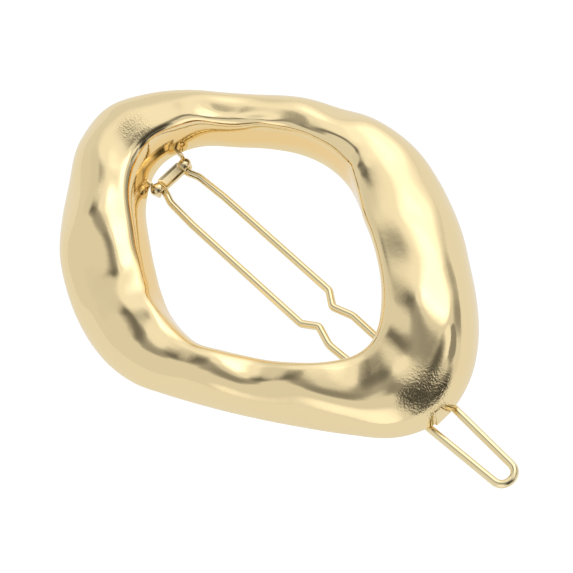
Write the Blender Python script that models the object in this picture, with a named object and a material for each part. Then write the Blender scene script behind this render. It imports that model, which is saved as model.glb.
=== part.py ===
"""Hair clip: a hammered ring frame with a wire clasp that swings on a small bracket and snaps over a catch.

Lengths are in metres. +X runs along the clasp from its hinge to its finger tab, +Y across it, and +Z
points out of the decorated front. The clip lies on its back on the plane z = 0.
"""

import math

import bmesh
import bpy
from mathutils import Vector

# Ring frame
ring_length = 0.0680
ring_width = 0.0500
hole_length = 0.0428
hole_width = 0.0304
ring_depth = 0.0066

# Spring wire clasp
wire_diameter = 0.0011
arm_spacing = 0.0059
kinked_arm_spacing = 0.0051
rim_arm_spacing = 0.0041
tab_spacing = 0.0030
tab_reach = 0.0128
tab_offset = 0.0003
kink_depth = 0.00135
kink_rise_run = 0.0021
kink_fall_run = 0.0030
right_kink_place = 0.0316
left_kink_place = 0.0323
kink_bend = 0.0008
arm_bend = 0.0030
root_bend = 0.0006
root_run = 0.0011
flare_spacing = 0.0054
flare_run = 0.0030
spread_run = 0.0080
tip_bend = 0.0015

# Hinge bracket
hinge_inset = 0.0002
ear_diameter = 0.0022
ear_thickness = 0.0007
eye_clearance = 0.00015
arm_side_clearance = 0.00015
root_spacing = 0.0041
pin_recess = 0.0001
bar_width = 0.0020
bar_thickness = 0.0006
bar_front_length = 0.0030
bar_back_width = 0.0008
bar_setback = 0.0004
bar_clearance = 0.0002
bar_end_inset = 0.00035
leg_reach = 0.0026
leg_depth = 0.0013
leg_rise = 0.0003

# Snap catch
catch_width = 0.0027
catch_length = 0.0024
head_overhang = 0.0004
head_thickness = 0.0004
head_setback = 0.0014
tongue_thickness = 0.0014
tongue_height = 0.0027
tongue_lean = 0.0003
tongue_proud = 0.0001
tongue_top_width = 0.0011
tongue_top_shift = 0.0003

# Gap left between pieces that are seated on or let into each other
seat_gap = 0.0003

wire_radius = wire_diameter / 2
axis_height = ear_diameter / 2
back_height = axis_height + wire_radius + seat_gap
rim_x = ring_length / 2
tip_x = rim_x + tab_reach - wire_radius

# The ring's outline, its hole, and its crest, as shares of the plain ellipse, the depth and the width
# of the band. They run anticlockwise from the catch, seen from the front, in equal steps of a turn.
# A side of the section is part of an ellipse at a squareness of 1, fuller below that, leaner above it.
# The inner side also leans outwards by a share of the band's width.
outer_shares = (
    1.008, 1.006, 0.985, 0.964, 0.955, 0.969, 0.984, 1.003, 1.019, 1.012, 0.987, 0.943,
    0.913, 0.878, 0.849, 0.847, 0.888, 0.948, 1.003, 0.999, 0.969, 0.977, 0.998, 1.006,
    1.013, 1.015, 1.004, 0.971, 0.913, 0.867, 0.834, 0.814, 0.810, 0.827, 0.877, 0.962,
)
hole_shares = (
    0.991, 0.933, 0.883, 0.872, 0.893, 0.944, 1.007, 1.031, 1.014, 0.975, 0.957, 1.009,
    1.024, 0.955, 0.885, 0.875, 0.905, 0.946, 0.963, 0.964, 0.914, 0.882, 0.911, 0.966,
)
crest_height_shares = (
    0.99, 1.03, 1.05, 1.04, 1.00, 0.97, 0.95, 0.94, 0.96, 0.97, 0.97, 0.99,
    1.00, 0.96, 0.89, 0.84, 0.86, 0.89, 0.91, 0.93, 0.94, 0.94, 0.95, 0.96,
)
crest_place_shares = (
    0.74, 0.74, 0.74, 0.71, 0.65, 0.60, 0.56, 0.58, 0.59, 0.56, 0.51, 0.52,
    0.58, 0.66, 0.70, 0.73, 0.66, 0.62, 0.62, 0.63, 0.64, 0.67, 0.71, 0.73,
)
outer_squareness_shares = (
    0.80, 0.73, 0.78, 0.88, 0.97, 1.02, 1.00, 0.97, 0.94, 0.92, 0.90, 0.91,
    0.96, 1.03, 1.12, 1.17, 1.18, 1.16, 1.14, 1.07, 0.96, 0.94, 0.95, 0.89,
)
inner_squareness_shares = (
    0.54, 0.44, 0.36, 0.31, 0.31, 0.30, 0.29, 0.25, 0.25, 0.36, 0.39, 0.34,
    0.34, 0.34, 0.34, 0.34, 0.34, 0.34, 0.48, 0.77, 0.91, 0.86, 0.75, 0.63,
)
inner_lean_shares = (
    -0.01, -0.02, -0.01, -0.01, -0.02, 0.04, 0.12, 0.13, 0.13, 0.12, 0.12, 0.10,
    0.10, 0.10, 0.10, 0.10, 0.10, 0.10, 0.10, 0.06, -0.01, -0.03, -0.05, -0.05,
)

# Soft hollows and swells in the front: share of a turn, place across the band from the outer edge, half
# length along the band as a share of a turn, half width as a share of the band, depth as a share of the
# ring's (below zero for a swell), and slant as the share of a turn it runs along while it crosses the band.
hollow_shares = (
    (0.056, 0.34, 0.029, 0.49, -0.199, 0.02),
    (0.066, 0.30, 0.025, 0.22, 0.146, 0.06),
    (0.105, 0.39, 0.053, 0.46, -0.093, -0.07),
    (0.196, 0.93, 0.073, 0.18, 0.055, -0.10),
    (0.220, 0.28, 0.034, 0.32, 0.096, -0.06),
    (0.246, 0.24, 0.060, 0.41, -0.054, 0.05),
    (0.301, 0.20, 0.025, 0.26, 0.188, 0.01),
    (0.361, 1.04, 0.022, 0.38, 0.075, -0.10),
    (0.375, 0.96, 0.020, 0.17, -0.163, 0.03),
    (0.389, 0.40, 0.035, 0.53, 0.112, -0.02),
    (0.424, 0.70, 0.065, 0.15, 0.057, 0.01),
    (0.444, 0.91, 0.014, 0.60, -0.079, 0.01),
    (0.464, 0.32, 0.024, 0.36, 0.165, 0.01),
    (0.510, 0.59, 0.024, 0.37, 0.086, -0.03),
    (0.512, 0.09, 0.014, 0.23, 0.116, 0.03),
    (0.593, 0.27, 0.026, 0.33, -0.199, 0.04),
    (0.598, 0.15, 0.030, 0.37, 0.070, -0.11),
    (0.631, 0.87, 0.080, 0.18, 0.133, -0.04),
    (0.661, 0.85, 0.017, 0.39, -0.080, 0.03),
    (0.664, 0.69, 0.022, 0.47, 0.115, -0.01),
    (0.721, 0.03, 0.017, 0.52, 0.069, 0.01),
    (0.738, 0.18, 0.041, 0.29, -0.127, -0.06),
    (0.774, 0.52, 0.035, 0.60, 0.130, 0.02),
    (0.814, 0.18, 0.032, 0.26, -0.099, 0.04),
    (0.877, 0.74, 0.033, 0.46, 0.165, -0.01),
    (0.934, 0.18, 0.030, 0.37, -0.090, 0.04),
    (0.952, 0.02, 0.045, 0.23, 0.117, 0.07),
    (0.973, 0.01, 0.018, 0.08, -0.144, -0.02),
    (0.993, 0.59, 0.018, 0.54, -0.116, -0.03),
    (0.997, 0.82, 0.036, 0.59, 0.161, -0.05),
)

ring_stations = 144
dome_steps = 11
back_steps = 3
eye_sides = 24
wire_sides_resolution = 3
bend_steps = 5

hinge_stations = 720

gold = (0.93, 0.77, 0.46, 1.0)
wire_gold = (0.92, 0.79, 0.49, 1.0)


def clear_scene():
    for item in list(bpy.data.objects):
        bpy.data.objects.remove(item, do_unlink=True)


def metal(name, colour, roughness):
    finish = bpy.data.materials.new(name)
    finish.use_nodes = True
    shader = finish.node_tree.nodes["Principled BSDF"]
    shader.inputs["Base Color"].default_value = colour
    shader.inputs["Roughness"].default_value = roughness
    shader.inputs["Metallic"].default_value = 1.0
    finish.diffuse_color = colour
    return finish


def place(name, data, finish, origin):
    item = bpy.data.objects.new(name, data)
    bpy.context.scene.collection.objects.link(item)
    item.parent = origin
    if finish:
        data.materials.append(finish)
    return item


def mesh_from(form, name):
    bmesh.ops.recalc_face_normals(form, faces=form.faces)
    mesh = bpy.data.meshes.new(name)
    form.to_mesh(mesh)
    form.free()
    return mesh


def smooth(mesh, angle):
    mesh.shade_smooth()
    mesh.set_sharp_from_angle(angle=math.radians(angle))


def hide_guide(item):
    item.hide_render = True
    item.display_type = "WIRE"


def boolean(item, tool, operation):
    modifier = item.modifiers.new(tool.name, "BOOLEAN")
    modifier.operation = operation
    modifier.solver = "EXACT"
    modifier.object = tool


def around(shares, turn):
    """Value of a closed row of shares at a share of a turn, on a smooth curve through them."""
    count = len(shares)
    at = (turn % 1.0) * count
    first = int(at) % count
    t = at - int(at)
    before, start, end, after = (shares[(first + k) % count] for k in (-1, 0, 1, 2))
    bend = (2 * before - 5 * start + 4 * end - after) * t * t
    swing = (3 * start - before - 3 * end + after) * t * t * t
    return start + 0.5 * ((end - before) * t + bend + swing)


def ellipse_radius(length, width, angle):
    across = math.hypot(width * math.cos(angle), length * math.sin(angle))
    return length * width / across / 2


def ring_edge(turn):
    """Outer and inner edge of the ring's flat back at a share of a turn, seen from the ring's centre."""
    angle = turn * math.tau
    heading = Vector((math.cos(angle), math.sin(angle)))
    outer = ellipse_radius(ring_length, ring_width, angle) * around(outer_shares, turn)
    inner = ellipse_radius(hole_length, hole_width, angle) * around(hole_shares, turn)
    return heading * outer, heading * inner


def hinge_place():
    """Place of the hinge axis along x, where the bracket's plate just clears the edge of the ring's hole."""
    reach = root_spacing / 2 + wire_radius + arm_side_clearance + ear_thickness - bar_end_inset
    edges = [ring_edge(station / hinge_stations)[1] for station in range(hinge_stations)]
    behind = max(edge.x for edge in edges if edge.x < 0 and abs(edge.y) < reach)
    return behind + hinge_inset + bar_setback


def hollow_depth(turn, across):
    """How far the soft hollows lower the front, as a share of the ring's depth."""
    depth = 0.0
    for middle, place_across, half_turn, half_band, share, slant in hollow_shares:
        off = (turn - middle + 0.5) % 1.0 - 0.5
        aside = across - place_across
        reach = ((off + slant * aside) / half_turn) ** 2 + (aside / half_band) ** 2
        depth += share * math.exp(-reach)
    return depth


def ring_section(turn):
    """Points of the ring's section at a share of a turn: over the dome from outside to inside, then back."""
    outer, inner = ring_edge(turn)
    crest = outer.lerp(inner, around(crest_place_shares, turn))
    height = ring_depth * around(crest_height_shares, turn)
    outer_squareness = around(outer_squareness_shares, turn)
    inner_squareness = around(inner_squareness_shares, turn)
    inner_lean = (outer - inner) * around(inner_lean_shares, turn)
    points = []
    for step in range(2 * dome_steps + 1):
        angle = math.pi / 2 * abs(step - dome_steps) / dome_steps
        outside = step < dome_steps
        edge = outer if outside else inner
        squareness = outer_squareness if outside else inner_squareness
        spread = abs(math.sin(angle)) ** squareness
        rise = max(math.cos(angle), 0.0) ** squareness
        spot = crest.lerp(edge, spread)
        if not outside:
            spot += inner_lean * rise * spread
        across = (spot - outer).length / (inner - outer).length
        lift = height * rise - ring_depth * hollow_depth(turn, across) * rise
        points.append(Vector((spot.x, spot.y, back_height + lift)))
    for step in range(1, back_steps):
        spot = inner.lerp(outer, step / back_steps)
        points.append(Vector((spot.x, spot.y, back_height)))
    return points


def ring_frame(origin, finish):
    form = bmesh.new()
    rings = []
    for station in range(ring_stations):
        rings.append([form.verts.new(point) for point in ring_section(station / ring_stations)])
    count = len(rings[0])
    for station, ring in enumerate(rings):
        following = rings[(station + 1) % ring_stations]
        for k in range(count):
            form.faces.new((ring[k], following[k], following[(k + 1) % count], ring[(k + 1) % count]))
    mesh = mesh_from(form, "ring_frame")
    smooth(mesh, 50)
    return place("ring_frame", mesh, finish, origin)


def block(name, low, high, origin):
    """A plain block between two corners."""
    form = bmesh.new()
    bmesh.ops.create_cube(form, size=1.0)
    for vert in form.verts:
        vert.co = Vector(low[k] + (high[k] - low[k]) * (vert.co[k] + 0.5) for k in range(3))
    return place(name, mesh_from(form, name), None, origin)


def profile_block(name, outline, low_y, high_y, origin):
    """A side outline of x and z places, run across the clip from low_y to high_y."""
    form = bmesh.new()
    face = form.faces.new([form.verts.new((x, low_y, z)) for x, z in outline])
    run = bmesh.ops.extrude_face_region(form, geom=[face])
    moved = [item for item in run["geom"] if isinstance(item, bmesh.types.BMVert)]
    bmesh.ops.translate(form, verts=moved, vec=(0, high_y - low_y, 0))
    return place(name, mesh_from(form, name), None, origin)


def ear_plate(name, side, grow, origin):
    """One side plate of the bracket: the round ear and the leg behind it. grow widens it all round."""
    near = root_spacing / 2 + wire_radius + arm_side_clearance - grow
    far = near + ear_thickness + 2 * grow
    radius = ear_diameter / 2 + grow
    foot_x = hinge_x - leg_reach - grow
    foot_low = back_height + leg_rise - grow
    foot_high = foot_low + leg_depth + 2 * grow
    outline = [(foot_x, foot_low), (foot_x, foot_high)]
    for k in range(eye_sides):
        angle = math.tau * k / eye_sides
        outline.append((hinge_x + radius * math.cos(angle), axis_height + radius * math.sin(angle)))
    form = bmesh.new()
    for y in (side * near, side * far):
        for x, z in outline:
            form.verts.new((x, y, z))
    hull = bmesh.ops.convex_hull(form, input=form.verts)
    spare = [item for item in hull["geom_interior"] if isinstance(item, bmesh.types.BMVert)]
    bmesh.ops.delete(form, geom=spare, context="VERTS")
    return place(name, mesh_from(form, name), None, origin)


def bar_outline():
    """The bracket's cross plate from the front: a back strip over both ears and a tongue between the arms."""
    back = hinge_x - bar_setback
    step = back + bar_back_width
    front = back + bar_width
    wide = root_spacing / 2 + wire_radius + arm_side_clearance + ear_thickness - bar_end_inset
    slim = bar_front_length / 2
    return (
        (back, -wide), (step, -wide), (step, -slim), (front, -slim),
        (front, slim), (step, slim), (step, wide), (back, wide),
    )


def hinge_bracket(origin, finish):
    low = axis_height + wire_radius + bar_clearance
    form = bmesh.new()
    face = form.faces.new([form.verts.new((x, y, low)) for x, y in bar_outline()])
    run = bmesh.ops.extrude_face_region(form, geom=[face])
    moved = [item for item in run["geom"] if isinstance(item, bmesh.types.BMVert)]
    bmesh.ops.translate(form, verts=moved, vec=(0, 0, bar_thickness))
    bracket = place("hinge_bracket", mesh_from(form, "hinge_bracket"), finish, origin)
    for side, word in ((1, "right"), (-1, "left")):
        plate = ear_plate(f"{word}_ear_guide", side, 0, origin)
        hide_guide(plate)
        boolean(bracket, plate, "UNION")
    eye = eye_cutter(origin)
    boolean(bracket, eye, "DIFFERENCE")
    return bracket


def eye_cutter(origin):
    """A bar through both ears, as wide as the wire and its clearance."""
    reach = root_spacing + ear_thickness + wire_diameter
    radius = wire_radius + eye_clearance
    outline = []
    for k in range(eye_sides):
        angle = math.tau * k / eye_sides
        outline.append((hinge_x + radius * math.cos(angle), axis_height + radius * math.sin(angle)))
    cutter = profile_block("eye_cutter", outline, -reach, reach, origin)
    hide_guide(cutter)
    return cutter


def tongue_side(side, height):
    """Place of one side of the catch's tongue across the clip. The tongue narrows with its height."""
    foot = tab_offset + side * catch_width / 2
    tip = tab_offset - tongue_top_shift + side * tongue_top_width / 2
    return foot + (tip - foot) * (height - back_height) / tongue_height


def catch_outline():
    """Side view of the catch, in x and z: six corners of its stem, then the two of its tongue's top."""
    rim = ring_edge(0)[0].x
    nose = rim - head_setback
    face = rim + tongue_proud
    inside = rim - tongue_thickness
    seat = back_height - seat_gap
    foot = head_thickness / 2
    top = back_height + tongue_height
    return (
        (nose - catch_length, foot),
        (nose, foot),
        (face, back_height),
        (inside, back_height),
        (inside, seat),
        (nose - catch_length, seat),
        (face - tongue_lean, top),
        (inside, top),
    )


def snap_catch(origin, finish):
    form = bmesh.new()
    rows = []
    for side in (-1, 1):
        row = []
        for x, z in catch_outline():
            y = tongue_side(side, max(z, back_height))
            row.append(form.verts.new((x, y, z)))
        form.faces.new(row[:6])
        form.faces.new((row[2], row[6], row[7], row[3]))
        rows.append(row)
    left, right = rows
    for a, b in ((0, 1), (1, 2), (2, 6), (6, 7), (7, 3), (3, 4), (4, 5), (5, 0)):
        form.faces.new((left[a], left[b], right[b], right[a]))
    catch = place("snap_catch", mesh_from(form, "snap_catch"), finish, origin)
    nose = ring_edge(0)[0].x - head_setback
    reach = catch_width / 2 + head_overhang
    head = block(
        "catch_head_guide",
        (nose - catch_length, tab_offset - reach, 0),
        (nose, tab_offset + reach, head_thickness),
        origin,
    )
    hide_guide(head)
    boolean(catch, head, "UNION")
    return catch


def tongue_cutter(origin):
    """The tongue and the gap around it, open towards the rim and the back."""
    rim = ring_edge(0)[0].x
    top = back_height + tongue_height
    form = bmesh.new()
    for height in (back_height - wire_diameter, top + seat_gap):
        for side in (-1, 1):
            slope = (tongue_side(side, back_height) - tongue_side(side, top)) / tongue_height
            y = tongue_side(side, height) + side * seat_gap * math.hypot(1, slope)
            for x in (rim - tongue_thickness - seat_gap, rim + wire_diameter):
                form.verts.new((x, y, height))
    bmesh.ops.convex_hull(form, input=form.verts)
    cutter = place("tongue_cutter", mesh_from(form, "tongue_cutter"), None, origin)
    hide_guide(cutter)
    return cutter


def cut_seats(frame, origin):
    """Cuts the ring where the bracket's legs and the catch's tongue are let in."""
    for side, word in ((1, "right"), (-1, "left")):
        cutter = ear_plate(f"{word}_leg_cutter", side, seat_gap, origin)
        hide_guide(cutter)
        boolean(frame, cutter, "DIFFERENCE")
    boolean(frame, tongue_cutter(origin), "DIFFERENCE")


def bent_path(corners):
    """Points along straight runs joined by round bends. Each corner is x, y and the radius of its bend."""
    points = [Vector(corners[0][:2])]
    for k in range(1, len(corners) - 1):
        corner = Vector(corners[k][:2])
        back = (Vector(corners[k - 1][:2]) - corner).normalized()
        ahead = (Vector(corners[k + 1][:2]) - corner).normalized()
        half = back.angle(ahead) / 2
        radius = corners[k][2]
        middle = corner + (back + ahead).normalized() * (radius / math.sin(half))
        start = corner + back * (radius / math.tan(half)) - middle
        turn = start.angle_signed(corner + ahead * (radius / math.tan(half)) - middle)
        for step in range(bend_steps + 1):
            spun = start.copy()
            angle = -turn * step / bend_steps
            spun.x = start.x * math.cos(angle) - start.y * math.sin(angle)
            spun.y = start.x * math.sin(angle) + start.y * math.cos(angle)
            points.append(middle + spun)
    points.append(Vector(corners[-1][:2]))
    return points


def arm_corners(side, kink_place):
    """Corners of one arm from its pin end to the finger tab. side is 1 for the +Y arm, -1 for the other."""
    kink_x = kink_place + hinge_x
    start = root_spacing / 2
    pin_end = start + wire_radius + arm_side_clearance + ear_thickness - pin_recess
    half = arm_spacing / 2
    shift = tab_offset * side
    return (
        (hinge_x, side * pin_end, 0),
        (hinge_x, side * start, root_bend),
        (hinge_x + root_run, side * start, arm_bend),
        (hinge_x + flare_run, side * (flare_spacing / 2), arm_bend),
        (hinge_x + spread_run, side * half, arm_bend),
        (kink_x - kink_rise_run, side * half, kink_bend),
        (kink_x, side * (half - kink_depth), kink_bend),
        (kink_x + kink_fall_run, side * (kinked_arm_spacing / 2), arm_bend),
        (rim_x, side * (rim_arm_spacing / 2 + shift), arm_bend),
        (tip_x, side * (tab_spacing / 2 + shift), tip_bend),
    )


def wire_clasp(origin, finish):
    right = arm_corners(1, right_kink_place)
    left = arm_corners(-1, left_kink_place)
    route = bent_path(right + tuple(reversed(left)))
    curve = bpy.data.curves.new("wire_clasp", "CURVE")
    curve.dimensions = "3D"
    curve.bevel_depth = wire_radius
    curve.bevel_resolution = wire_sides_resolution
    curve.use_fill_caps = True
    spline = curve.splines.new("POLY")
    spline.points.add(len(route) - 1)
    for point, spot in zip(spline.points, route):
        point.co = (spot.x - hinge_x, spot.y, 0, 1)
    clasp = place("wire_clasp", curve, finish, origin)
    clasp.location = (hinge_x, 0, axis_height)
    return clasp


def centre_offset():
    """Shift that puts the middle of the whole clip's outline over the origin."""
    edges = [ring_edge(station / ring_stations)[0] for station in range(ring_stations)]
    low_x = min(edge.x for edge in edges)
    low_y = min(edge.y for edge in edges)
    high_y = max(edge.y for edge in edges)
    return Vector((-(low_x + tip_x + wire_radius) / 2, -(low_y + high_y) / 2, 0))


hinge_x = hinge_place()
clear_scene()
clip = bpy.data.objects.new("clip_origin", None)
bpy.context.scene.collection.objects.link(clip)
clip.location = centre_offset()
frame_finish = metal("hammered_gold", gold, 0.18)
bracket_finish = metal("bracket_gold", gold, 0.22)
catch_finish = metal("catch_gold", gold, 0.22)
wire_finish = metal("wire_gold", wire_gold, 0.16)
frame = ring_frame(clip, frame_finish)
cut_seats(frame, clip)
hinge_bracket(clip, bracket_finish)
snap_catch(clip, catch_finish)
wire_clasp(clip, wire_finish)
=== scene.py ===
import math

import bpy
from mathutils import Matrix, Vector


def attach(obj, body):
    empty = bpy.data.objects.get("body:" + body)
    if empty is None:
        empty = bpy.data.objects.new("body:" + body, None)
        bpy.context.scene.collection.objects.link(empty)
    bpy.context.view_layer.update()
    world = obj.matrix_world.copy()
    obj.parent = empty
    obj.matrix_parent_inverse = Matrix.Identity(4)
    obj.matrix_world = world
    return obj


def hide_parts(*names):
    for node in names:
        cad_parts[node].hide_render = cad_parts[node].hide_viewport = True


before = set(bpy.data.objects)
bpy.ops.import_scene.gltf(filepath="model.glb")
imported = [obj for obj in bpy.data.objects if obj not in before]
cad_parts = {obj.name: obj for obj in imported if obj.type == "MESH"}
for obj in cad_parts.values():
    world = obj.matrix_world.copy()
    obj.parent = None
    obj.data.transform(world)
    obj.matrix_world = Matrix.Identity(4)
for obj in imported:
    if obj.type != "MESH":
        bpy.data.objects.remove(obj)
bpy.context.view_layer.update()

# Ring frame.
# One cast metal ring, hammered into soft hollows, then polished and plated a pale champagne gold. It is
# domed in front, with a sharp ridge above the steep inner wall, and flat behind.
ring_middle = Vector((-0.0063152, -0.0002537, 0.0))
ring_length = 0.0680
ring_width = 0.0500
hole_length = 0.0428
hole_width = 0.0304
ring_depth = 0.0066
back_height = 0.00195
back_corner = 0.00012

# Shares of the plain ellipses, of the depth and of the band's width, anticlockwise from the catch in equal
# steps of a turn. A side of the section is part of an ellipse at a squareness of 1 and fuller below it.
# A program fitted most of these shares, and all the hollows, to the photograph. They aren't chosen by hand.
outer_shares = (
    1.008, 1.006, 0.985, 0.964, 0.955, 0.969, 0.984, 1.003, 1.019, 1.012, 0.987, 0.943,
    0.913, 0.878, 0.849, 0.847, 0.888, 0.948, 1.003, 0.999, 0.969, 0.977, 0.998, 1.006,
    1.013, 1.015, 1.004, 0.971, 0.913, 0.867, 0.834, 0.814, 0.810, 0.827, 0.877, 0.962,
)
hole_shares = (
    0.991, 0.933, 0.883, 0.872, 0.893, 0.944, 1.007, 1.031, 1.014, 0.975, 0.957, 1.009,
    1.024, 0.955, 0.885, 0.875, 0.905, 0.946, 0.963, 0.964, 0.914, 0.882, 0.911, 0.966,
)
crest_height_shares = (
    0.99, 1.03, 1.05, 1.04, 1.00, 0.97, 0.95, 0.94, 0.96, 0.97, 0.97, 0.99,
    1.00, 0.96, 0.89, 0.84, 0.86, 0.89, 0.91, 0.93, 0.94, 0.94, 0.95, 0.96,
)
crest_place_shares = (
    0.74, 0.74, 0.74, 0.71, 0.65, 0.60, 0.56, 0.58, 0.59, 0.56, 0.51, 0.52,
    0.58, 0.66, 0.70, 0.73, 0.66, 0.62, 0.62, 0.63, 0.64, 0.67, 0.71, 0.73,
)
outer_squareness_shares = (
    0.80, 0.73, 0.78, 0.88, 0.97, 1.02, 1.00, 0.97, 0.94, 0.92, 0.90, 0.91,
    0.96, 1.03, 1.12, 1.17, 1.18, 1.16, 1.14, 1.07, 0.96, 0.94, 0.95, 0.89,
)
inner_squareness_shares = (
    0.54, 0.44, 0.36, 0.31, 0.31, 0.30, 0.29, 0.25, 0.25, 0.36, 0.39, 0.34,
    0.34, 0.34, 0.34, 0.34, 0.34, 0.34, 0.48, 0.77, 0.91, 0.86, 0.75, 0.63,
)
inner_lean_shares = (
    -0.01, -0.02, -0.01, -0.01, -0.02, 0.04, 0.12, 0.13, 0.13, 0.12, 0.12, 0.10,
    0.10, 0.10, 0.10, 0.10, 0.10, 0.10, 0.10, 0.06, -0.01, -0.03, -0.05, -0.05,
)

# Hollows, and swells where the depth is below zero: share of a turn, place across the band from its outer
# edge, half length as a share of a turn, half width, depth as a share of the ring's, and slant.
hollows = (
    (0.056, 0.34, 0.029, 0.49, -0.199, 0.016),
    (0.066, 0.30, 0.025, 0.22, 0.146, 0.062),
    (0.077, -0.04, 0.030, 0.11, 0.067, 0.025),
    (0.091, 0.22, 0.046, 0.12, -0.060, 0.089),
    (0.105, 0.39, 0.053, 0.46, -0.093, -0.069),
    (0.144, 0.47, 0.018, 0.12, 0.021, -0.043),
    (0.154, 0.12, 0.018, 0.17, -0.061, 0.020),
    (0.195, 0.76, 0.029, 0.48, 0.039, 0.038),
    (0.196, 0.93, 0.073, 0.18, 0.055, -0.098),
    (0.218, 0.16, 0.021, 0.23, -0.076, -0.017),
    (0.220, 0.28, 0.034, 0.32, 0.096, -0.061),
    (0.233, 0.88, 0.013, 0.19, -0.069, 0.004),
    (0.241, 0.83, 0.024, 0.16, 0.072, 0.029),
    (0.246, 0.24, 0.060, 0.41, -0.054, 0.051),
    (0.267, 0.66, 0.026, 0.08, -0.048, 0.016),
    (0.297, 0.83, 0.023, 0.16, 0.044, -0.015),
    (0.301, 0.20, 0.025, 0.26, 0.188, 0.009),
    (0.361, 1.04, 0.022, 0.38, 0.075, -0.105),
    (0.375, 0.96, 0.020, 0.17, -0.163, 0.026),
    (0.389, 0.40, 0.035, 0.53, 0.112, -0.023),
    (0.424, 0.70, 0.065, 0.15, 0.057, 0.012),
    (0.444, 0.91, 0.014, 0.60, -0.079, 0.014),
    (0.464, 0.32, 0.024, 0.36, 0.165, 0.012),
    (0.487, 0.98, 0.011, 0.13, -0.063, 0.007),
    (0.510, 0.59, 0.024, 0.37, 0.086, -0.032),
    (0.512, 0.09, 0.014, 0.23, 0.116, 0.034),
    (0.539, 0.22, 0.012, 0.60, -0.033, 0.008),
    (0.593, 0.27, 0.026, 0.33, -0.199, 0.045),
    (0.598, 0.15, 0.030, 0.37, 0.070, -0.109),
    (0.612, 0.73, 0.019, 0.14, -0.037, 0.008),
    (0.623, 1.03, 0.030, 0.12, 0.054, -0.033),
    (0.631, 0.87, 0.080, 0.18, 0.133, -0.042),
    (0.661, 0.85, 0.017, 0.39, -0.080, 0.027),
    (0.664, 0.69, 0.022, 0.47, 0.115, -0.013),
    (0.696, 0.22, 0.022, 0.08, -0.056, -0.010),
    (0.721, 0.93, 0.030, 0.17, -0.072, -0.055),
    (0.721, 0.03, 0.017, 0.52, 0.069, 0.007),
    (0.738, 0.18, 0.041, 0.29, -0.127, -0.060),
    (0.774, 0.52, 0.035, 0.60, 0.130, 0.024),
    (0.801, 0.99, 0.031, 0.21, -0.032, -0.028),
    (0.814, 0.18, 0.032, 0.26, -0.099, 0.044),
    (0.877, 0.74, 0.033, 0.46, 0.165, -0.005),
    (0.934, 0.18, 0.030, 0.37, -0.090, 0.040),
    (0.951, 1.06, 0.025, 0.42, -0.044, -0.065),
    (0.952, 0.02, 0.045, 0.23, 0.117, 0.066),
    (0.973, 0.01, 0.018, 0.08, -0.144, -0.021),
    (0.993, 0.59, 0.018, 0.54, -0.116, -0.029),
    (0.997, 0.82, 0.036, 0.59, 0.161, -0.051),
)
ring_stations = 216
section_points = 72
dome_points = 62
back_points = section_points - dome_points

# The wall of the hole, which gets a painted reflection, as shares of the band's width and of the depth, with
# the widths of its soft edges.
wall_share = 0.18
wall_edge_share = 0.04
wall_top_share = 0.80
wall_top_edge_share = 0.20
wall_foot_share = 0.02


def around(shares, turn):
    """Value of a closed row of shares at a share of a turn, on a smooth curve through them."""
    count = len(shares)
    at = (turn % 1.0) * count
    first = int(at) % count
    t = at - int(at)
    before, start, end, after = (shares[(first + k) % count] for k in (-1, 0, 1, 2))
    bend = (2 * before - 5 * start + 4 * end - after) * t * t
    swing = (3 * start - before - 3 * end + after) * t * t * t
    return start + 0.5 * ((end - before) * t + bend + swing)


def ellipse_radius(length, width, angle):
    across = math.hypot(width * math.cos(angle), length * math.sin(angle))
    return length * width / across / 2


def ring_edge(turn):
    """Outer and inner edge of the ring's flat back, in plan."""
    angle = turn * math.tau
    heading = Vector((math.cos(angle), math.sin(angle), 0.0))
    outer = ellipse_radius(ring_length, ring_width, angle) * around(outer_shares, turn)
    inner = ellipse_radius(hole_length, hole_width, angle) * around(hole_shares, turn)
    return ring_middle + heading * outer, ring_middle + heading * inner


def hollow_depth(turn, across):
    """How far the hammered hollows lower the front, as a share of the ring's depth."""
    depth = 0.0
    for middle, place_across, half_turn, half_band, share, slant in hollows:
        off = (turn - middle + 0.5) % 1.0 - 0.5
        aside = across - place_across
        reach = ((off + slant * aside) / half_turn) ** 2 + (aside / half_band) ** 2
        depth += share * math.exp(-reach)
    return depth


def ring_point(turn, share):
    """A point of the section: over the dome from outside to inside as share runs from -1 to 1."""
    outer, inner = ring_edge(turn)
    crest = outer.lerp(inner, around(crest_place_shares, turn))
    height = ring_depth * around(crest_height_shares, turn)
    angle = math.pi / 2 * abs(share)
    edge = outer if share < 0 else inner
    squareness = around(outer_squareness_shares if share < 0 else inner_squareness_shares, turn)
    spread = abs(math.sin(angle)) ** squareness
    rise = max(math.cos(angle), 0.0) ** squareness
    spot = crest.lerp(edge, spread)
    if share > 0:
        spot += (outer - inner) * around(inner_lean_shares, turn) * rise * spread
    across = (spot - outer).length / (inner - outer).length
    lift = height * rise - ring_depth * hollow_depth(turn, across) * rise
    return Vector((spot.x, spot.y, back_height + lift))


def on_wall(spot, outer, inner):
    """How far a point lies on the wall of the hole, from 0 to 1, for the richer gold painted there as
    reflection.
    """
    above = (spot.z - back_height) / ring_depth
    if above <= wall_foot_share:
        return 0.0
    from_hole = (spot.xy - inner.xy).length / (outer - inner).length
    near_hole = (wall_share - from_hole) / wall_edge_share
    below_crest = (wall_top_share - above) / wall_top_edge_share
    return min(max(min(near_hole, below_crest), 0.0), 1.0)


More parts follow.
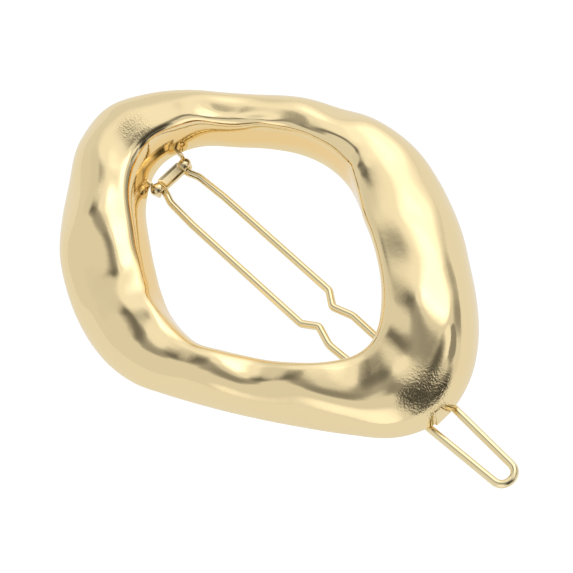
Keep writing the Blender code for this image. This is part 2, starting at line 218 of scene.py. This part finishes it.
bpy.ops.object.select_all(action="DESELECT")
bpy.ops.mesh.primitive_torus_add(
    major_segments=ring_stations, minor_segments=section_points,
    major_radius=ring_width / 2, minor_radius=ring_depth / 2,
)
ring = bpy.context.object
ring.name = "cast_ring"
ring.data.name = "cast_ring"
# Painted reflection: each point's share of the richer gold painted on the wall of the hole.
painted_reflection_marks = ring.data.attributes.new("painted_reflection_wall", "FLOAT", "POINT")
for station in range(ring_stations):
    turn = station / ring_stations
    outer, inner = ring_edge(turn)
    for k in range(section_points):
        if k < dome_points:
            spot = ring_point(turn, 2 * k / (dome_points - 1) - 1)
        else:
            near = back_corner / (outer - inner).length
            step = near + (1 - 2 * near) * (k - dome_points) / (back_points - 1)
            spot = inner.lerp(outer, step) + Vector((0, 0, back_height))
        number = station * section_points + k
        ring.data.vertices[number].co = spot
        painted_reflection_marks.data[number].value = on_wall(spot, outer, inner)
bpy.ops.object.mode_set(mode="EDIT")
bpy.ops.mesh.select_all(action="SELECT")
bpy.ops.mesh.normals_make_consistent(inside=False)
bpy.ops.object.mode_set(mode="OBJECT")
finer = ring.modifiers.new("finer", "SUBSURF")
finer.levels = 1
finer.render_levels = 1
bpy.ops.object.modifier_apply(modifier="finer")


def smooth_shaded(item, sharp_angle):
    """Shades a piece smooth, but leaves edges sharper than an angle in degrees crisp."""
    bpy.ops.object.select_all(action="DESELECT")
    item.select_set(True)
    bpy.context.view_layer.objects.active = item
    bpy.ops.object.shade_smooth_by_angle(angle=math.radians(sharp_angle))


smooth_shaded(ring, 50)


def plated_metal(name, colour, roughness, grain_scale, grain_height):
    """Plated metal with a clear shine, a fine grain, and a colour and gloss that vary a little."""
    finish = bpy.data.materials.new(name)
    finish.use_nodes = True
    nodes, links = finish.node_tree.nodes, finish.node_tree.links
    shader = nodes["Principled BSDF"]
    shader.inputs["Metallic"].default_value = 1.0
    where = nodes.new("ShaderNodeTexCoord")
    cloud = nodes.new("ShaderNodeTexNoise")
    cloud.inputs["Scale"].default_value = 260
    cloud.inputs["Detail"].default_value = 3
    links.new(where.outputs["Object"], cloud.inputs["Vector"])
    gloss = nodes.new("ShaderNodeMapRange")
    gloss.inputs["From Min"].default_value = 0.35
    gloss.inputs["From Max"].default_value = 0.65
    gloss.inputs["To Min"].default_value = roughness * 0.8
    gloss.inputs["To Max"].default_value = roughness * 1.25
    links.new(cloud.outputs["Fac"], gloss.inputs["Value"])
    links.new(gloss.outputs["Result"], shader.inputs["Roughness"])
    tint = nodes.new("ShaderNodeMix")
    tint.data_type = "RGBA"
    tint.inputs["A"].default_value = colour
    tint.inputs["B"].default_value = (colour[0], colour[1] * 0.975, colour[2] * 0.93, 1.0)
    links.new(cloud.outputs["Fac"], tint.inputs["Factor"])
    links.new(tint.outputs["Result"], shader.inputs["Base Color"])
    grain = nodes.new("ShaderNodeTexNoise")
    grain.inputs["Scale"].default_value = grain_scale
    grain.inputs["Detail"].default_value = 4
    links.new(where.outputs["Object"], grain.inputs["Vector"])
    bump = nodes.new("ShaderNodeBump")
    bump.inputs["Strength"].default_value = 1.0
    bump.inputs["Distance"].default_value = grain_height
    links.new(grain.outputs["Fac"], bump.inputs["Height"])
    links.new(bump.outputs["Normal"], shader.inputs["Normal"])
    return finish


champagne = (0.93, 0.77, 0.46, 1.0)
# Painted reflection: a richer, more orange gold for the wall of the hole, where the gold mirrors itself.
painted_reflection_gold = (0.97, 0.70, 0.32, 1.0)
ring_plate = plated_metal("champagne_gold_plate", champagne, 0.07, 900, 0.00001)
nodes, links = ring_plate.node_tree.nodes, ring_plate.node_tree.links
shader = nodes["Principled BSDF"]

# Painted reflection: the wall of the hole is painted a richer gold, for the gold that it mirrors across the
# hole.
painted_reflection_mask = nodes.new("ShaderNodeAttribute")
painted_reflection_mask.attribute_name = "painted_reflection_wall"
painted_reflection_mix = nodes.new("ShaderNodeMix")
painted_reflection_mix.data_type = "RGBA"
painted_reflection_mix.inputs["B"].default_value = painted_reflection_gold
links.new(shader.inputs["Base Color"].links[0].from_socket, painted_reflection_mix.inputs["A"])
links.new(painted_reflection_mask.outputs["Fac"], painted_reflection_mix.inputs["Factor"])
links.new(painted_reflection_mix.outputs["Result"], shader.inputs["Base Color"])

# Two places kept a coarse cast grain. Each has its angle from the catch in degrees, its distance from the
# ring's middle, its height, and how far the grain reaches.
rough_places = ((0.5, 0.0316, 0.0060, 0.0048), (178, 0.0262, 0.0078, 0.0034))
full_grain_share = 0.45
where = nodes.new("ShaderNodeTexCoord")
coarse = nodes.new("ShaderNodeTexNoise")
coarse.inputs["Scale"].default_value = 3400
coarse.inputs["Detail"].default_value = 2
links.new(where.outputs["Object"], coarse.inputs["Vector"])
covers = []
for angle, radius, height, reach in rough_places:
    away = nodes.new("ShaderNodeVectorMath")
    away.operation = "DISTANCE"
    turned = math.radians(angle)
    middle = ring_middle + Vector((radius * math.cos(turned), radius * math.sin(turned), height))
    away.inputs[1].default_value = middle
    links.new(where.outputs["Object"], away.inputs[0])
    cover = nodes.new("ShaderNodeMapRange")
    cover.interpolation_type = "SMOOTHSTEP"
    cover.inputs["From Min"].default_value = reach
    cover.inputs["From Max"].default_value = reach * full_grain_share
    links.new(away.outputs["Value"], cover.inputs["Value"])
    covers.append(cover)
either = nodes.new("ShaderNodeMath")
either.operation = "MAXIMUM"
links.new(covers[0].outputs["Result"], either.inputs[0])
links.new(covers[1].outputs["Result"], either.inputs[1])
rough_skin = nodes.new("ShaderNodeBump")
rough_skin.inputs["Distance"].default_value = 0.00005
links.new(either.outputs["Value"], rough_skin.inputs["Strength"])
links.new(coarse.outputs["Fac"], rough_skin.inputs["Height"])
links.new(shader.inputs["Normal"].links[0].from_socket, rough_skin.inputs["Normal"])
links.new(rough_skin.outputs["Normal"], shader.inputs["Normal"])
ring.data.materials.clear()
ring.data.materials.append(ring_plate)
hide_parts("ring_frame")
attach(ring, "frame")

# Wire clasp.
# One hairpin of gold-plated spring wire. Its two ends are turned outwards through the eyes of the hinge
# bracket, each arm has one inward kink, and its round closed end is the finger tab.
hinge_x = -0.0201203
wire_diameter = 0.0011
wire_radius = wire_diameter / 2
axis_height = 0.0011
pin_end = 0.00335
root_spacing = 0.0041
root_run = 0.0011
root_bend = 0.0006
flare_spacing = 0.0054
flare_run = 0.0030
arm_spacing = 0.0059
spread_run = 0.0080
arm_bend = 0.0030
kink_places = (0.0316, 0.0323)
kink_depth = 0.00135
kink_rise_run = 0.0021
kink_fall_run = 0.0030
kink_bend = 0.0008
kinked_arm_spacing = 0.0051
rim_x = ring_length / 2
rim_arm_spacing = 0.0041
tab_reach = 0.0128
tab_spacing = 0.0030
tab_offset = 0.0003
tip_x = rim_x + tab_reach - wire_radius
tip_bend = 0.0015
bend_steps = 10
wire_gold = (0.92, 0.79, 0.49, 1.0)


def arm_corners(side, kink_place):
    """Corners of one arm from its pin end to the finger tab, each with the radius of its bend."""
    kink_x = hinge_x + kink_place
    root = root_spacing / 2
    half = arm_spacing / 2
    shift = tab_offset * side
    return (
        (hinge_x, side * pin_end, 0),
        (hinge_x, side * root, root_bend),
        (hinge_x + root_run, side * root, arm_bend),
        (hinge_x + flare_run, side * flare_spacing / 2, arm_bend),
        (hinge_x + spread_run, side * half, arm_bend),
        (kink_x - kink_rise_run, side * half, kink_bend),
        (kink_x, side * (half - kink_depth), kink_bend),
        (kink_x + kink_fall_run, side * kinked_arm_spacing / 2, arm_bend),
        (rim_x, side * (rim_arm_spacing / 2 + shift), arm_bend),
        (tip_x, side * (tab_spacing / 2 + shift), tip_bend),
    )


def bent_path(corners):
    """Points along straight runs joined by round bends."""
    points = [Vector(corners[0][:2])]
    for k in range(1, len(corners) - 1):
        corner = Vector(corners[k][:2])
        back = (Vector(corners[k - 1][:2]) - corner).normalized()
        ahead = (Vector(corners[k + 1][:2]) - corner).normalized()
        half = back.angle(ahead) / 2
        radius = corners[k][2]
        middle = corner + (back + ahead).normalized() * (radius / math.sin(half))
        start = corner + back * (radius / math.tan(half)) - middle
        turn = start.angle_signed(corner + ahead * (radius / math.tan(half)) - middle)
        for step in range(bend_steps + 1):
            angle = -turn * step / bend_steps
            spun = Vector((
                start.x * math.cos(angle) - start.y * math.sin(angle),
                start.x * math.sin(angle) + start.y * math.cos(angle),
            ))
            points.append(middle + spun)
    points.append(Vector(corners[-1][:2]))
    return points


right_arm = arm_corners(1, kink_places[0])
left_arm = arm_corners(-1, kink_places[1])
route = bent_path(right_arm + tuple(reversed(left_arm)))
bpy.ops.object.select_all(action="DESELECT")
bpy.ops.curve.primitive_bezier_curve_add()
wire = bpy.context.object
wire.name = "spring_wire"
wire.data.splines.clear()
line = wire.data.splines.new("POLY")
line.points.add(len(route) - 1)
for point, spot in zip(line.points, route):
    point.co = (spot.x + ring_middle.x, spot.y + ring_middle.y, axis_height, 1.0)
wire.data.dimensions = "3D"
wire.data.bevel_depth = wire_radius
wire.data.bevel_resolution = 6
wire.data.use_fill_caps = True
bpy.ops.object.convert(target="MESH")
wire = bpy.context.object
wire.data.name = "spring_wire"
bpy.ops.object.mode_set(mode="EDIT")
bpy.ops.mesh.select_all(action="SELECT")
bpy.ops.mesh.remove_doubles(threshold=0.000001)
bpy.ops.mesh.normals_make_consistent(inside=False)
bpy.ops.object.mode_set(mode="OBJECT")
smooth_shaded(wire, 50)
wire.data.materials.clear()
wire.data.materials.append(plated_metal("gold_wire_plate", wire_gold, 0.16, 2500, 0.000004))
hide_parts("wire_clasp")
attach(wire, "clasp")

# Hinge bracket.
# One small stamped and folded strip, plated like the ring. Its lipped plate lies over the wire's roots and
# curls at both ends, two round ears with eyes hold the wire's ends, and two legs run into the ring.
hinge_place = ring_middle + Vector((hinge_x, 0.0, axis_height))
eye_clearance = 0.00005
ear_near = root_spacing / 2 + wire_radius + eye_clearance
ear_thickness = 0.0006
ear_radius = 0.0011
ear_edge = 0.00025
plate_low = hinge_place.z + wire_radius + 0.0002
plate_thickness = 0.0006
plate_half_length = 0.0019
plate_back = 0.0004
plate_front = 0.0016
lip_width = 0.00045
lip_height = 0.0003
curl_radius = 0.00085
curl_stretch = (1.05, 1.3, 0.8)
curl_ahead = 0.0003
curl_rise = 0.00065
curl_places = (0.0024, -0.0026)
arm_room = 0.0010
room_reach = 0.002
cut_overlap = 0.0001
leg_reach = 0.0026
leg_setback = 0.0001
leg_inset = 0.00002
leg_low = back_height + 0.0003
leg_high = back_height + 0.0013
stamped_edge = 0.00012
bar_length = 0.009


def block(name, low, high):
    """A plain block between two corners."""
    bpy.ops.object.select_all(action="DESELECT")
    middle = (Vector(low) + Vector(high)) / 2
    size = Vector(high) - Vector(low)
    bpy.ops.mesh.primitive_cube_add(size=1.0, location=middle, scale=size)
    item = bpy.context.object
    item.name = name
    bpy.ops.object.transform_apply(location=True, rotation=True, scale=True)
    return item


def disc(name, middle, radius, thickness, sides):
    """A round plate standing across the clip, its faces towards +Y and -Y."""
    bpy.ops.object.select_all(action="DESELECT")
    bpy.ops.mesh.primitive_cylinder_add(
        vertices=sides, radius=radius, depth=thickness, location=middle, rotation=(math.pi / 2, 0, 0)
    )
    item = bpy.context.object
    item.name = name
    bpy.ops.object.transform_apply(location=True, rotation=True, scale=True)
    return item


def round_edges(item, width, segments):
    """Rounds the sharp edges of a piece."""
    bpy.context.view_layer.objects.active = item
    edge = item.modifiers.new("edge", "BEVEL")
    edge.width = width
    edge.segments = segments
    edge.limit_method = "ANGLE"
    bpy.ops.object.modifier_apply(modifier="edge")


def join_or_cut(item, tool, operation):
    """Joins a tool to an item, or cuts it away, and removes the tool."""
    bpy.context.view_layer.objects.active = item
    fit = item.modifiers.new("fit", "BOOLEAN")
    fit.operation = operation
    fit.solver = "EXACT"
    fit.object = tool
    bpy.ops.object.modifier_apply(modifier="fit")
    bpy.data.objects.remove(tool)


def select_faces(item, facing):
    """Selects the faces that point in a direction, in edit mode's face mode."""
    bpy.ops.mesh.select_mode(type="FACE")
    bpy.ops.mesh.select_all(action="DESELECT")
    bpy.ops.object.mode_set(mode="OBJECT")
    for face in item.data.polygons:
        face.select = face.normal.dot(facing) > 0.99
    bpy.ops.object.mode_set(mode="EDIT")


bracket = block(
    "folded_bracket",
    (hinge_place.x - plate_back, hinge_place.y - plate_half_length, plate_low),
    (hinge_place.x + plate_front, hinge_place.y + plate_half_length, plate_low + plate_thickness),
)
bpy.ops.object.mode_set(mode="EDIT")
select_faces(bracket, Vector((0, 0, 1)))
bpy.ops.mesh.inset(thickness=lip_width, depth=0)
bpy.ops.transform.translate(value=(0, 0, -lip_height))
bpy.ops.object.mode_set(mode="OBJECT")
round_edges(bracket, stamped_edge, 3)
for side_sign, curl_y in zip((1, -1), curl_places):
    middle = hinge_place + Vector((0, side_sign * (ear_near + ear_thickness / 2), 0))
    ear = disc("ear", middle, ear_radius, ear_thickness, 48)
    round_edges(ear, ear_edge, 5)
    join_or_cut(bracket, ear, "UNION")

    # The curl is cut away below the plate, where the wire's root turns.
    bpy.ops.object.select_all(action="DESELECT")
    bpy.ops.mesh.primitive_uv_sphere_add(
        segments=40, ring_count=20, radius=curl_radius, scale=curl_stretch,
        location=hinge_place + Vector((curl_ahead, curl_y, curl_rise)),
    )
    curl = bpy.context.object
    curl.name = "curl"
    bpy.ops.object.transform_apply(location=True, rotation=True, scale=True)
    near, far = sorted((side_sign * arm_room, side_sign * (ear_near + cut_overlap)))
    below = block(
        "below",
        (hinge_place.x - room_reach, hinge_place.y + near, hinge_place.z - room_reach),
        (hinge_place.x + room_reach, hinge_place.y + far, plate_low - cut_overlap),
    )
    join_or_cut(curl, below, "DIFFERENCE")
    join_or_cut(bracket, curl, "UNION")
    near, far = sorted((side_sign * ear_near, side_sign * (ear_near + ear_thickness)))
    leg = block(
        "leg",
        (hinge_place.x - leg_reach, hinge_place.y + near + leg_inset, leg_low),
        (hinge_place.x - leg_setback, hinge_place.y + far - leg_inset, leg_high),
    )
    round_edges(leg, stamped_edge, 3)
    join_or_cut(bracket, leg, "UNION")
eye = disc("eye", hinge_place, wire_radius + eye_clearance, bar_length, 40)
join_or_cut(bracket, eye, "DIFFERENCE")
smooth_shaded(bracket, 35)
bracket.data.name = "folded_bracket"
bracket.data.materials.clear()
bracket.data.materials.append(plated_metal("champagne_bracket_plate", champagne, 0.16, 2500, 0.000006))
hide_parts("hinge_bracket")
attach(bracket, "frame")

# Snap catch.
# A small plated lug let into the rim. Its wider rear head holds the wire's two arms from behind, its stem
# slopes out to the rim, and its nub narrows up the ring's outer wall, with a fine seam on one side.
rim = ring_edge(0)[0].x
catch_y = ring_middle.y + tab_offset
catch_length = 0.0024
half_lug = 0.00135
nose = rim - 0.0014
heel = nose - catch_length
stem_low = 0.0002
stem_overlap = 0.0003
stem_slope_share = 1.5
head_overhang = 0.0004
head_thickness = 0.0004
head_half = half_lug + head_overhang
nub_inside = rim - 0.0012
nub_face = rim + 0.00005
nub_low = back_height - 0.0002
nub_top = back_height + 0.0027
nub_top_share = 0.41
nub_pivot_offset = 0.0005
nub_lean = 0.0004
nub_edge = 0.00018
seam_inside = rim - 0.0009
seam_outside = rim + 0.0003
seam_half_width = 0.0001
seam_lean = 0.0011
catch = block("catch_lug", (nub_inside, catch_y - half_lug, nub_low), (nub_face, catch_y + half_lug, nub_top))
bpy.ops.object.mode_set(mode="EDIT")
select_faces(catch, Vector((0, 0, 1)))
nub_pivot = (rim, catch_y - nub_pivot_offset, nub_top)
bpy.ops.transform.resize(value=(1.0, nub_top_share, 1.0), center_override=nub_pivot)
bpy.ops.transform.translate(value=(-nub_lean, 0, 0))
bpy.ops.object.mode_set(mode="OBJECT")
round_edges(catch, nub_edge, 4)
stem_top = back_height + stem_overlap
stem = block("stem", (heel, catch_y - half_lug, stem_low), (nose, catch_y + half_lug, stem_top))
bpy.ops.object.mode_set(mode="EDIT")
select_faces(stem, Vector((0, 0, 1)))
bpy.ops.transform.resize(value=(stem_slope_share, 1.0, 1.0), center_override=(heel, catch_y, back_height))
bpy.ops.object.mode_set(mode="OBJECT")
round_edges(stem, stamped_edge, 3)
join_or_cut(catch, stem, "UNION")
head = block("head", (heel, catch_y - head_half, 0.0), (nose, catch_y + head_half, head_thickness))
round_edges(head, stamped_edge, 3)
join_or_cut(catch, head, "UNION")
seam_y = catch_y + half_lug
seam = block(
    "seam",
    (seam_inside, seam_y - seam_half_width, nub_low),
    (seam_outside, seam_y + seam_half_width, nub_top),
)
bpy.ops.object.mode_set(mode="EDIT")
select_faces(seam, Vector((0, 0, 1)))
bpy.ops.transform.translate(value=(0, -seam_lean, 0))
bpy.ops.object.mode_set(mode="OBJECT")
join_or_cut(ring, seam, "DIFFERENCE")
smooth_shaded(ring, 50)
smooth_shaded(catch, 35)
catch.data.name = "catch_lug"
catch.data.materials.clear()
catch.data.materials.append(plated_metal("champagne_catch_plate", champagne, 0.16, 2500, 0.000006))
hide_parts("snap_catch")
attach(catch, "frame")

# Studio.
# A camera at the photograph's angle, a plain white table far enough below the clip for its clasp to swing
# open, and a soft white tent whose lighter and darker zones show in the polished metal.
camera_distance = 0.315
camera_tilt = 28
table_size = 6.0
table_height = -0.07
seen_glow = 0.79
mirrored_glow = 0.56
tent_strength = 0.77

# Zones of the tent: angle in the picture and height above the table, then the angles within which the zone
# is full and beyond which it ends, all in degrees, and its strength. A program fitted 16 of them to the
# photograph. The strengths of 6 of these were then changed, and 2 zones were added.
tent_zones = (
    (68, 54, 1, 25, 1.88),
    (77, 24, 1, 33, 1.09),
    (164, 73, 1, 17, 0.36),
    (142, 56, 1, 18, 0.18),
    (262, 12, 1, 26, 1.20),
    (23, 11, 1, 24, 0.34),
    (356, 30, 13, 16, 0.30),
    (351, 51, 12, 16, 0.99),
    (314, 62, 3, 24, 0.10),
    (308, 39, 1, 28, 0.06),
    (326, 16, 8, 20, 0.05),
    (305, 13, 3, 13, 0.06),
    (253, 80, 1, 19, 0.28),
    (107, 43, 1, 29, 0.99),
    (73, 37, 1, 26, 1.40),
    (68, 46, 1, 12, 1.64),
    (145, 36, 1, 19, 0.72),
    (101, 69, 1, 11, 0.95),
)
lean = Vector((0.936, -0.353, 0.0)).normalized()
tilt = math.radians(camera_tilt)
toward = lean * math.sin(tilt) + Vector((0, 0, math.cos(tilt)))
aim = ring_middle + Vector((0.0040, -0.00031, 0.0))
side = Vector((0.66723, 0.71828, -0.19718)).normalized()
up = toward.cross(side)
camera_data = bpy.data.cameras.new("camera")
camera = bpy.data.objects.new("camera", camera_data)
bpy.context.scene.collection.objects.link(camera)
camera_data.sensor_width = 36.0
camera_data.lens = 146.6
turned = Matrix((side, up, toward)).transposed()
camera.matrix_world = Matrix.Translation(aim + toward * camera_distance) @ turned.to_4x4()
bpy.context.scene.camera = camera

bpy.ops.object.select_all(action="DESELECT")
bpy.ops.mesh.primitive_plane_add(size=table_size, location=(0, 0, table_height))
table = bpy.context.object
table.name = "table"
white = bpy.data.materials.new("white_table")
white.use_nodes = True
nodes, links = white.node_tree.nodes, white.node_tree.links
nodes.clear()
paper = nodes.new("ShaderNodeBsdfDiffuse")
paper.inputs["Color"].default_value = (0.4, 0.4, 0.4, 1.0)
glow = nodes.new("ShaderNodeEmission")
glow.inputs["Color"].default_value = (1.0, 1.0, 1.0, 1.0)
rays = nodes.new("ShaderNodeLightPath")
seen = nodes.new("ShaderNodeMath")
seen.operation = "MULTIPLY_ADD"
seen.inputs[1].default_value = seen_glow
shone = nodes.new("ShaderNodeMath")
shone.operation = "MULTIPLY"
shone.inputs[1].default_value = mirrored_glow
links.new(rays.outputs["Is Glossy Ray"], shone.inputs[0])
links.new(rays.outputs["Is Camera Ray"], seen.inputs[0])
links.new(shone.outputs["Value"], seen.inputs[2])
both = nodes.new("ShaderNodeAddShader")
end = nodes.new("ShaderNodeOutputMaterial")
links.new(seen.outputs["Value"], glow.inputs["Strength"])
links.new(paper.outputs["BSDF"], both.inputs[0])
links.new(glow.outputs["Emission"], both.inputs[1])
links.new(both.outputs["Shader"], end.inputs["Surface"])
table.data.materials.append(white)

tent = bpy.data.worlds.new("tent")
bpy.context.scene.world = tent
tent.use_nodes = True
nodes, links = tent.node_tree.nodes, tent.node_tree.links
nodes.clear()
heading = nodes.new("ShaderNodeTexCoord")
shown = nodes.new("ShaderNodeBackground")
shown.inputs["Color"].default_value = (1.0, 1.0, 1.0, 1.0)
end = nodes.new("ShaderNodeOutputWorld")
level = nodes.new("ShaderNodeValue")
level.outputs["Value"].default_value = tent_strength


def tent_zone(before, direction, full_angle, end_angle, strength):
    """Sets the tent to a strength within an angle of a direction, with a soft edge, and keeps the rest."""
    dot = nodes.new("ShaderNodeVectorMath")
    dot.operation = "DOT_PRODUCT"
    dot.inputs[1].default_value = Vector(direction).normalized()
    links.new(heading.outputs["Generated"], dot.inputs[0])
    reach = nodes.new("ShaderNodeMapRange")
    reach.interpolation_type = "SMOOTHSTEP"
    reach.inputs["From Min"].default_value = math.cos(math.radians(end_angle))
    reach.inputs["From Max"].default_value = math.cos(math.radians(full_angle))
    links.new(dot.outputs["Value"], reach.inputs["Value"])
    blend = nodes.new("ShaderNodeMix")
    blend.data_type = "FLOAT"
    blend.inputs["B"].default_value = strength
    links.new(reach.outputs["Result"], blend.inputs["Factor"])
    links.new(before, blend.inputs["A"])
    return blend.outputs["Result"]


def seen_from(heading_angle, height):
    """A direction by its angle in the picture, anticlockwise from the right, and its height."""
    flat_right = Vector((side.x, side.y, 0)).normalized()
    flat_up = Vector((up.x, up.y, 0)).normalized()
    turned_by = math.radians(heading_angle)
    flat = (flat_right * math.cos(turned_by) + flat_up * math.sin(turned_by)).normalized()
    angle = math.radians(height)
    return flat * math.cos(angle) + Vector((0, 0, math.sin(angle)))


latest = level.outputs["Value"]
for heading_angle, height, full_angle, end_angle, strength in tent_zones:
    latest = tent_zone(latest, seen_from(heading_angle, height), full_angle, end_angle, strength)

# The camera sees plain white behind the table's edge, and only the metal shows the zones.
rays = nodes.new("ShaderNodeLightPath")
plain = nodes.new("ShaderNodeMix")
plain.data_type = "FLOAT"
plain.inputs["B"].default_value = 1.0
links.new(rays.outputs["Is Camera Ray"], plain.inputs["Factor"])
links.new(latest, plain.inputs["A"])
links.new(plain.outputs["Result"], shown.inputs["Strength"])
links.new(shown.outputs["Background"], end.inputs["Surface"])

bpy.context.scene.view_settings.view_transform = "Standard"
